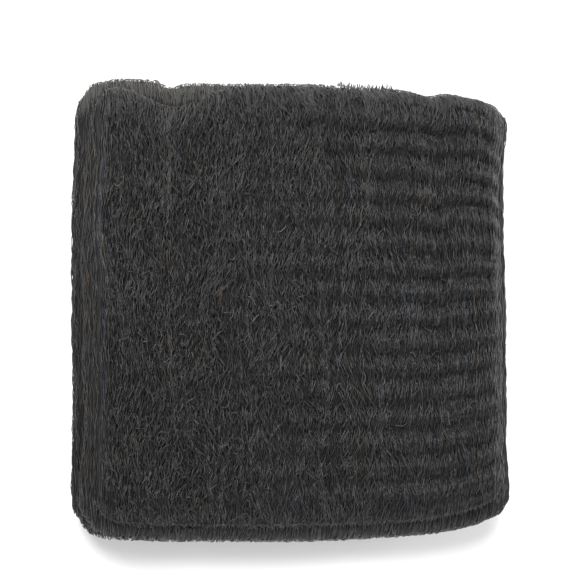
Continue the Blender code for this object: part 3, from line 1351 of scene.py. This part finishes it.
@dataclass
class FoldStrands:
    """The strands round the folds behind the front one, with loops and stray ends on them.

    Attributes:
        net: The net that they belong to.
        comb: The fringe on the far folds.
        far_seed: What fixes the far folds' unevenness.
        near_seed: What fixes the near folds' unevenness.
        far_folds: The far folds behind the front one, counted along the band.
        near_folds: The near folds.
        per_fold: How many strands wrap each fold.
        corner_strands: How many more wrap the right end of the front layer's own fold.
        lip: How far the strands reach in past the fold, on each side.
        lip_shift: How far that reach is moved along the band at most.
        points: How many points each has.
        drifting: How far the slow drift carries them.
        bundling: How far they lean together in bundles.
        wave_size: The range of the size of their sideways waves.
        waves: The range of those waves' lengths.
        lift: The range of how high they lie.
        bob: The size of their bobbing, and its length over a full turn.
        radius: The range of their radius.
        loops_per_fold: How many loops stand on each fold.
        loop_points: How many points a loop has.
        loop_width: The share of the width that the loops cover.
        loop_lip: How far in front of the fold they start.
        loop_length: The range of their length.
        loop_openness: The range of the distance between their feet.
        loop_curl: How far they curl sideways.
        loop_lift: The range of how high they lie.
        loop_rise: The most that their middle lies higher.
        loop_radius: The range of their radius.
    """

    net: Net
    comb: Fringe
    far_seed: int = 31
    near_seed: int = 32
    far_folds: tuple[int, ...] = (2, 4, 6)
    near_folds: tuple[int, ...] = (1, 3, 5)
    per_fold: int = 250
    corner_strands: int = 14
    lip: float = 11.0
    lip_shift: float = 2.0
    points: int = 13
    drifting: float = 1.6
    bundling: float = 0.6
    wave_size: Range = (0.2, 1.0)
    waves: Range = (2.2 * FULL_TURN, 5.0 * FULL_TURN)
    lift: Range = (0.0, 0.6)
    bob: Range = (0.25, 2.4)
    radius: Range = (0.28, 0.42)
    loops_per_fold: int = 190
    loop_points: int = 8
    loop_width: float = 0.98
    loop_lip: float = 4.0
    loop_length: Range = (3.0, 7.0)
    loop_openness: Range = (0.8, 2.4)
    loop_curl: float = 1.2
    loop_lift: Range = (0.2, 0.7)
    loop_rise: float = 0.5
    loop_radius: Range = (0.25, 0.38)

    def wrap(self, fold: int, side: float, rank: int, chance: Chance) -> Route:
        """Lay one strand round a fold.

        Args:
            fold: The fold, counted along the band.
            side: The side of the band that is outside there.
            rank: The strand's place on the fold, from the left.
            chance: Where its own unevenness comes from.

        Returns:
            The strand's way.
        """
        band, net = self.net.band, self.net
        start = fold * band.unit + band.run_travel - self.lip
        start += chance.uniform(-self.lip_shift, self.lip_shift)
        travel = np.linspace(start, start + 2 * self.lip + band.fold_travel, self.points)
        middle = net.spread(rank, self.per_fold, chance)
        across = middle + self.drifting * net.drift.at(middle, travel)
        across = across + self.bundling * net.bundle.at(middle, travel)
        across = across + chance.uniform(*self.wave_size) * net.wave(travel, self.waves, chance)
        across = net.drawn(middle, across)
        size, pace = self.bob
        lift = chance.uniform(*self.lift) + size * np.sin(travel / pace + chance.uniform(0, FULL_TURN))
        radius = chance.uniform(*self.radius)
        return net.lay(across, travel, side, side * lift, radius, self.tone(fold, chance))

    def loop(self, fold: int, side: float, rank: int, chance: Chance) -> Route:
        """Lay one loop on a fold, along the strands and a little off them.

        Args:
            fold: The fold, counted along the band.
            side: The side of the band that is outside there.
            rank: The loop's place on the fold, from the left.
            chance: Where its own unevenness comes from.

        Returns:
            The loop's way.
        """
        band, net = self.net.band, self.net
        share, bow = arch(self.loop_points)
        foot = fold * band.unit + band.run_travel + chance.uniform(-self.loop_lip, band.fold_travel)
        middle = self.loop_width * net.spread(rank, self.loops_per_fold, chance)
        travel = foot + chance.uniform(*self.loop_length) * bow
        across = middle + chance.uniform(*self.loop_openness) * (share - 0.5)
        across = net.on_band(across + chance.normal() * self.loop_curl * bow ** 2)
        lift = chance.uniform(*self.loop_lift) + chance.uniform(0.0, self.loop_rise) * bow
        radius = chance.uniform(*self.loop_radius)
        return net.lay(across, travel, side, side * lift, radius, self.tone(fold, chance))

    def tone(self, fold: int, chance: Chance) -> Tone:
        """Draw a shade: on the far folds behind the front one most are painted pale, as painted light falling on
        them.
        """
        return self.net.tone(chance, self.net.far_tone_chances if self.net.band.is_painted_pale(fold) else ())

    def routes(self, folds: tuple[int, ...], side: float, chance: Chance) -> list[Route]:
        """Lay the strands round some folds, then the loops on them.

        Args:
            folds: Which folds, counted along the band.
            side: The side of the band that is outside there.
            chance: Where their unevenness comes from.

        Returns:
            The strands' and the loops' ways.
        """
        wraps = [self.wrap(fold, side, rank, chance) for fold in folds for rank in range(self.per_fold)]
        return wraps + [self.loop(fold, side, rank, chance)
                        for fold in folds for rank in range(self.loops_per_fold)]

    def build(self, maker: StrandMaker) -> list[bpy.types.Object]:
        """Build the far folds' strands and the near folds' strands.

        Args:
            maker: What turns ways into meshes.

        Returns:
            The two pieces.
        """
        chance = np.random.default_rng(self.far_seed)
        far = self.routes(self.far_folds, 1.0, chance)
        far += [self.comb.route(rank, chance) for rank in range(self.comb.count)]
        corner = range(self.per_fold - self.corner_strands, self.per_fold)
        far += [self.wrap(0, 1.0, rank, chance) for rank in corner]
        near = self.routes(self.near_folds, -1.0, np.random.default_rng(self.near_seed))
        return [maker.make("far_fold_strands", far), maker.make("near_fold_strands", near)]


@dataclass
class SideEdges:
    """The strands along the layers' side edges, and the loops that stand out of them.

    Attributes:
        net: The net that they belong to.
        seed: What fixes their unevenness.
        step: The travel between a strand's points.
        fold_points: How many points it has round a fold.
        per_edge: How many strands run along each layer's edge.
        edge_level: How far up and down the edge they lie at most, as a side.
        bulge: How far out the middle ones lie, and by how much all lie further in.
        wave_size: The size of their waves in and out.
        waves: The range of those waves' lengths.
        bob_size: The size of their waves up and down.
        bobs: The range of those waves' lengths.
        radius: The range of their radius.
        loops_per_row: How many loops stand out at each row of meshes.
        loop_points: How many points a loop has.
        loop_ends: How near a run's start and end they stand.
        loop_openness: The range of the distance between their feet.
        loop_curl: How far they curl along the edge.
        loop_foot: How far inside the edge their feet are.
        loop_height: The range of how far they stand out.
        loop_level: How far up and down the edge they stand at most, as a side.
        loop_lift: How far they rise or hang.
        loop_radius: The range of their radius.
        margins: The layers and sides whose margin shows beyond the layer above.
        per_margin: How many strands run on such a margin.
        margin_width: How wide it is.
        margin_ends: How far from a run's ends they stop.
        margin_waves: Two sets of sideways waves: the range of their lengths, and their size.
        margin_lift: The range of how high the strands lie.
        margin_bob: The size of their bobbing.
        margin_bobs: The range of its lengths.
        margin_radius: The range of their radius.
    """

    net: Net
    seed: int = 41
    step: float = 4.4
    fold_points: int = 9
    per_edge: int = 6
    edge_level: float = 1.7
    bulge: Range = (1.2, 0.4)
    wave_size: float = 0.7
    waves: Range = (12, 30)
    bob_size: float = 0.5
    bobs: Range = (10, 26)
    radius: Range = (0.28, 0.42)
    loops_per_row: int = 3
    loop_points: int = 8
    loop_ends: Range = (6.0, 8.0)
    loop_openness: Range = (1.0, 4.5)
    loop_curl: float = 2.2
    loop_foot: float = 0.5
    loop_height: Range = (0.4, 1.5)
    loop_level: float = 1.2
    loop_lift: float = 0.5
    loop_radius: Range = (0.25, 0.38)
    margins: tuple[tuple[int, float], ...] = (
        (0, 1.0), (1, -1.0), (1, 1.0), (2, -1.0), (2, 1.0), (3, -1.0), (3, 1.0))
    per_margin: int = 14
    margin_width: float = 15.0
    margin_ends: float = 1.0
    margin_waves: Waves = (((9.0, 15.0), 0.4), ((18.0, 40.0), 0.6))
    margin_lift: Range = (0.0, 0.7)
    margin_bob: float = 0.3
    margin_bobs: Range = (9, 20)
    margin_radius: Range = (0.26, 0.40)

    def edge_travel(self, layer: int) -> np.ndarray:
        """Find the travels at which a strand along a layer's edge has points.

        Args:
            layer: The layer.

        Returns:
            The travels along its run and on round the fold at its end, if it has one.
        """
        band = self.net.band
        start = layer * band.unit
        runs = np.arange(start, start + band.run_travel - self.step / 2, self.step)
        if layer == band.last:
            return runs
        turns = np.linspace(0, 1, self.fold_points)
        return np.concatenate([runs, start + band.run_travel + band.fold_travel * turns])

    def strand(self, layer: int, hand: float, rank: int, chance: Chance) -> Route:
        """Lay one strand along a layer's side edge.

        Args:
            layer: The layer.
            hand: -1 for its left edge, 1 for its right one.
            rank: The strand's place on the edge, from the inner face.
            chance: Where its own unevenness comes from.

        Returns:
            The strand's way.
        """
        net = self.net
        travel = self.edge_travel(layer)
        place = 2 * (rank + chance.uniform(0, 1)) / self.per_edge - 1
        out = self.bulge[0] * (1 - place ** 2) - self.bulge[1]
        waves = self.wave_size * net.wave(travel, self.waves, chance)
        across = hand * (net.band.half_width + out + waves)
        lift = self.bob_size * net.wave(travel, self.bobs, chance)
        radius = chance.uniform(*self.radius)
        return net.lay(across, travel, self.edge_level * place, lift, radius, net.tone(chance))

    def loop(self, layer: int, hand: float, row: int, chance: Chance) -> Route:
        """Lay one loop that stands out of a layer's side edge.

        Args:
            layer: The layer.
            hand: -1 for its left edge, 1 for its right one.
            row: The row of meshes that the loop belongs to.
            chance: Where its own unevenness comes from.

        Returns:
            The loop's way.
        """
        band, net = self.net.band, self.net
        share, bow = arch(self.loop_points)
        start = layer * band.unit
        foot = start + (row + chance.uniform(0, 1)) * net.row_pitch
        foot = min(max(foot, start + self.loop_ends[0]), start + band.run_travel - self.loop_ends[1])
        travel = foot + chance.uniform(*self.loop_openness) * (share - 0.5)
        travel = travel + chance.normal() * self.loop_curl * bow ** 2
        across = hand * (band.half_width - self.loop_foot + chance.uniform(*self.loop_height) * bow)
        level = chance.uniform(-self.loop_level, self.loop_level)
        lift = chance.normal() * self.loop_lift * bow
        return net.lay(across, travel, level, lift, chance.uniform(*self.loop_radius), net.tone(chance))

    def margin(self, layer: int, hand: float, rank: int, chance: Chance) -> Route:
        """Lay one strand on the margin of a layer that shows beyond the layer above it.

        Args:
            layer: The layer.
            hand: -1 for its left margin, 1 for its right one.
            rank: The strand's place on the margin, from the edge inwards.
            chance: Where its own unevenness comes from.

        Returns:
            The strand's way.
        """
        band, net = self.net.band, self.net
        start, ends = layer * band.unit, self.margin_ends
        travel = np.arange(start + ends, start + band.run_travel - ends, self.step)
        upper = band.heading(layer)
        inward = self.margin_width * (rank + chance.uniform(0, 1)) / self.per_margin
        waves = sum(size * net.wave(travel, lengths, chance) for lengths, size in self.margin_waves)
        across = net.on_band(hand * (band.half_width - inward + waves))
        height = chance.uniform(*self.margin_lift)
        bob = self.margin_bob * np.sin(FULL_TURN * travel / chance.uniform(*self.margin_bobs))
        radius = chance.uniform(*self.margin_radius)
        # The right margins partly take the paler tone, as painted light on that side strip.
        tone = net.tone(chance, net.right_tone_chances if hand > 0 else ())
        return net.lay(across, travel, upper, upper * (height + bob), radius, tone)

    def build(self, maker: StrandMaker) -> bpy.types.Object:
        """Build both sides' strands and loops as one piece.

        Args:
            maker: What turns ways into meshes.

        Returns:
            The piece.
        """
        chance = np.random.default_rng(self.seed)
        routes = [self.margin(layer, hand, rank, chance)
                  for layer, hand in self.margins for rank in range(self.per_margin)]
        for layer in range(self.net.band.layer_count):
            for hand in (-1.0, 1.0):
                routes += [self.strand(layer, hand, rank, chance) for rank in range(self.per_edge)]
                routes += [self.loop(layer, hand, row, chance)
                           for row in range(self.net.band.mesh_rows) for _ in range(self.loops_per_row)]
        return maker.make("side_edge_strands", routes)


@dataclass
class FreeEnds:
    """The strands round the band's two free ends, at the near side of the front and of the back layer.

    Attributes:
        net: The net that they belong to.
        seed: What fixes their unevenness.
        points: How many points each has.
        per_end: How many strands wrap each end.
        reach: The range of a strand's length on either face.
        past_end: The range of how far it stands out past the end.
        squareness: The power that makes its turn square.
        wave_size: The range of the size of its sideways wave.
        wave_pace: How much of that wave it has.
        lift: The most that it lies off the faces.
        radius: The range of its radius.
        loops_per_end: How many small loops stand out of each end.
        loop_openness: The range of the distance between their feet.
        loop_curl: How far they curl sideways.
        loop_foot: How far inside the end their feet are.
        loop_height: The range of how far they stand out from there.
        loop_levels: The range of their place between the inner and the outer face.
        loop_lift: How far their middle rises.
        loop_radius: The range of their radius.
    """

    net: Net
    seed: int = 61
    points: int = 9
    per_end: int = 240
    reach: Range = (5.0, 12.0)
    past_end: Range = (0.2, 0.9)
    squareness: float = 0.35
    wave_size: Range = (0.3, 1.1)
    wave_pace: float = 3.0
    lift: float = 0.5
    radius: Range = (0.26, 0.40)
    loops_per_end: int = 150
    loop_openness: Range = (0.8, 2.2)
    loop_curl: float = 0.8
    loop_foot: float = 1.5
    loop_height: Range = (2.0, 4.6)
    loop_levels: Range = (-0.8, 0.9)
    loop_lift: float = 0.4
    loop_radius: Range = (0.24, 0.34)

    def wrap(self, on_front: bool, rank: int, chance: Chance) -> Route:
        """Lay one strand from one face round a free end to the other.

        Args:
            on_front: Whether it is the front layer's end.
            rank: The strand's place on the end, from the left.
            chance: Where its own unevenness comes from.

        Returns:
            The strand's way.
        """
        share, bow = arch(self.points)
        turn = np.cos(math.pi * share)
        level = np.sign(turn) * np.abs(turn) ** self.squareness
        from_end = chance.uniform(*self.reach) * (1 - np.sqrt(bow)) - chance.uniform(*self.past_end)
        across = self.net.spread(rank, self.per_end, chance)
        size = chance.uniform(*self.wave_size)
        across = across + size * np.sin(self.wave_pace * share + chance.uniform(0, FULL_TURN))
        lift = level * chance.uniform(0.0, self.lift)
        radius = chance.uniform(*self.radius)
        return self._route(on_front, across, from_end, level, lift, radius, self.net.tone(chance))

    def loop(self, on_front: bool, rank: int, chance: Chance) -> Route:
        """Lay one small loop that stands out of a free end.

        Args:
            on_front: Whether it is the front layer's end.
            rank: The loop's place on the end, from the left.
            chance: Where its own unevenness comes from.

        Returns:
            The loop's way.
        """
        share, bow = arch(self.points)
        across = self.net.spread(rank, self.loops_per_end, chance)
        across = across + chance.uniform(*self.loop_openness) * (share - 0.5)
        across = across + chance.normal() * self.loop_curl * bow
        from_end = self.loop_foot - chance.uniform(*self.loop_height) * bow
        level = chance.uniform(*self.loop_levels)
        radius = chance.uniform(*self.loop_radius)
        tone = self.net.tone(chance)
        return self._route(on_front, across, from_end, level, self.loop_lift * bow, radius, tone)

    def _route(self, on_front: bool, across: np.ndarray, from_end: np.ndarray, level: Values,
               lift: np.ndarray, radius: float, tone: Tone) -> Route:
        """Lay a strand from one of the band's two free ends.

        Args:
            on_front: Whether it is the front layer's end.
            across: The strand's way across the band.
            from_end: How far it is from that end, inwards.
            level: Its place between the inner and the outer face.
            lift: How far it stands off.
            radius: Its radius.
            tone: Its shade.

        Returns:
            The strand's way.
        """
        travel = from_end if on_front else self.net.band.whole_travel - from_end
        return self.net.lay(self.net.on_band(across), travel, level, lift, radius, tone)

    def build(self, maker: StrandMaker) -> bpy.types.Object:
        """Build both ends' strands and loops as one piece.

        Args:
            maker: What turns ways into meshes.

        Returns:
            The piece.
        """
        chance = np.random.default_rng(self.seed)
        routes = [self.wrap(on_front, rank, chance)
                  for on_front in (True, False) for rank in range(self.per_end)]
        routes += [self.loop(on_front, rank, chance)
                   for on_front in (True, False) for rank in range(self.loops_per_end)]
        return maker.make("free_end_strands", routes)


@dataclass
class UndersideStrands:
    """The long strands under the back layer, pressed flat where the pad rests.

    Attributes:
        net: The net that they belong to.
        seed: What fixes their unevenness.
        count: How many there are.
        step: The travel between their points.
        fold_share: The share of the last fold that they reach back round.
        past_end: The range of how far they reach past the free end.
        drifting: How far the slow drift carries them.
        wave_size: The size of their sideways waves.
        waves: The range of those waves' lengths.
        radius: Their radius.
        inset: How much deeper than their radius they lie in the face.
    """

    net: Net
    seed: int = 51
    count: int = 110
    step: float = 5.5
    fold_share: float = 0.3
    past_end: Range = (-2, 3)
    drifting: float = 2.2
    wave_size: float = 0.8
    waves: Range = (16, 40)
    radius: float = 0.32
    inset: float = 0.02

    def route(self, rank: int, chance: Chance) -> Route:
        """Lay one strand along the underside.

        Args:
            rank: Its place in the row of strands, from the left.
            chance: Where its own unevenness comes from.

        Returns:
            The strand's way.
        """
        band, net = self.net.band, self.net
        first = band.last * band.unit
        end = first + band.run_travel + chance.uniform(*self.past_end)
        travel = np.arange(first - band.fold_travel * self.fold_share, end, self.step)
        middle = net.spread(rank, self.count, chance)
        across = middle + self.drifting * net.drift.at(middle, travel)
        across = net.on_band(across + self.wave_size * net.wave(travel, self.waves, chance))
        return net.lay(across, travel, 1.0, -self.radius - self.inset, self.radius, net.tone(chance))

    def build(self, maker: StrandMaker) -> bpy.types.Object:
        """Build the strands as one piece."""
        chance = np.random.default_rng(self.seed)
        return maker.make("underside_strands", [self.route(rank, chance) for rank in range(self.count)])


@dataclass(frozen=True)
class SoftLight:
    """One large studio light.

    Attributes:
        name: Its name.
        place: Where it stands, in metres.
        size: Its side, in metres.
        power: Its power, in watts.
    """

    name: str
    place: Triple
    size: float
    power: float

    def hang(self) -> None:
        """Hang the light, turned to the pad."""
        data = bpy.data.lights.new(self.name, "AREA")
        data.shape = "SQUARE"
        data.size = self.size
        data.energy = self.power
        lamp = bpy.data.objects.new(self.name, data)
        lamp.location = self.place
        lamp.rotation_euler = (-Vector(self.place)).to_track_quat("-Z", "Y").to_euler()
        bpy.context.scene.collection.objects.link(lamp)


@dataclass
class Studio:
    """The pale floor, the soft light and the camera at the photograph's angle to the front face.

    Attributes:
        lens: The lens on a sensor 36 mm wide, in millimetres.
        sensor: The sensor's width, in millimetres.
        clip_start: The nearest distance that the camera sees, in metres.
        right: The camera's right, in the pad's frame.
        up: The camera's up, in the pad's frame.
        place: The camera's place from the middle of the front face, in millimetres.
        face_height: The height of the front face, in millimetres.
        sky: The strength of the light from all round.
        floor_reach: How far the floor reaches from its middle, in metres.
        floor_colour: The floor's colour.
        floor_roughness: Its roughness.
        floor_shine: The strength of its reflections.
        lights: The large lights.
    """

    lens: float = 77.8
    sensor: float = 36.0
    clip_start: float = 0.01
    right: Triple = (0.94976, -0.01216, 0.31275)
    up: Triple = (-0.01895, 0.99518, 0.09620)
    place: Triple = (-285.2, -70.9, 798.5)
    face_height: float = 62.0
    sky: float = 0.40
    floor_reach: float = 20.0
    floor_colour: Triple = (0.93, 0.93, 0.93)
    floor_roughness: float = 0.9
    floor_shine: float = 0.1
    lights: tuple[SoftLight, ...] = (
        SoftLight("key_light", (-1.4, 1.8, 3.6), 1.4, 144.0),
        SoftLight("far_light", (-0.6, 3.8, 1.7), 2.0, 120.0),
        SoftLight("right_light", (3.8, 0.4, 1.2), 2.0, 80.0),
        SoftLight("near_light", (-1.2, -3.4, 2.0), 2.4, 108.0),
    )

    def lay_floor(self) -> None:
        """Lay the pale floor."""
        mesh = bmesh.new()
        bmesh.ops.create_grid(mesh, x_segments=1, y_segments=1, size=self.floor_reach)
        data = bpy.data.meshes.new("floor")
        mesh.to_mesh(data)
        mesh.free()
        pale = bpy.data.materials.new("floor_white")
        pale.use_nodes = True
        shader = pale.node_tree.nodes["Principled BSDF"]
        shader.inputs["Base Color"].default_value = (*self.floor_colour, 1.0)
        shader.inputs["Roughness"].default_value = self.floor_roughness
        shader.inputs["Specular IOR Level"].default_value = self.floor_shine
        data.materials.append(pale)
        floor = bpy.data.objects.new("floor", data)
        bpy.context.scene.collection.objects.link(floor)

    def light(self) -> None:
        """Light the pad from all round, and with the large lights."""
        world = bpy.data.worlds.new("studio")
        world.use_nodes = True
        sky = world.node_tree.nodes["Background"]
        sky.inputs["Color"].default_value = (1.0, 1.0, 1.0, 1.0)
        sky.inputs["Strength"].default_value = self.sky
        bpy.context.scene.world = world
        for lamp in self.lights:
            lamp.hang()

    def set_camera(self) -> None:
        """Set the camera where the photograph's was."""
        data = bpy.data.cameras.new("camera")
        data.lens = self.lens
        data.sensor_width = self.sensor
        data.clip_start = self.clip_start
        camera = bpy.data.objects.new("camera", data)
        right = Vector(self.right).normalized()
        back = right.cross(Vector(self.up)).normalized()
        up = back.cross(right)
        place = (Vector(self.place) + Vector((0.0, 0.0, self.face_height))) * MM
        turn = Matrix((right, up, back)).transposed()
        camera.matrix_world = Matrix.Translation(place) @ turn.to_4x4()
        bpy.context.scene.collection.objects.link(camera)
        bpy.context.scene.camera = camera
        bpy.context.scene.view_settings.view_transform = "Standard"


def main() -> None:
    logging.basicConfig(level=logging.INFO, format="%(name)s: %(message)s")
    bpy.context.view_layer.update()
    band = FoldedBand()
    body = BandBody(band)
    body.settle()
    # The second finish paints the light on the far folds as a paler grey.
    folds = body.build(BODY_FINISH, PAINTED_PALE_BODY_FINISH)
    net = Net(band)
    maker = StrandMaker([STRAND_FINISHES[tone].material() for tone in Tone])
    strands = FrontStrands(net).build(maker)
    strands.append(CrossLoops(net, LooseCurls(net)).build(maker))
    strands += FoldStrands(net, Fringe(net)).build(maker)
    strands.append(SideEdges(net).build(maker))
    strands.append(FreeEnds(net).build(maker))
    strands.append(UndersideStrands(net).build(maker))
    bpy.data.objects.remove(maker.section)
    studio = Studio()
    studio.lay_floor()
    studio.light()
    studio.set_camera()


if __name__ == "__main__":
    main()
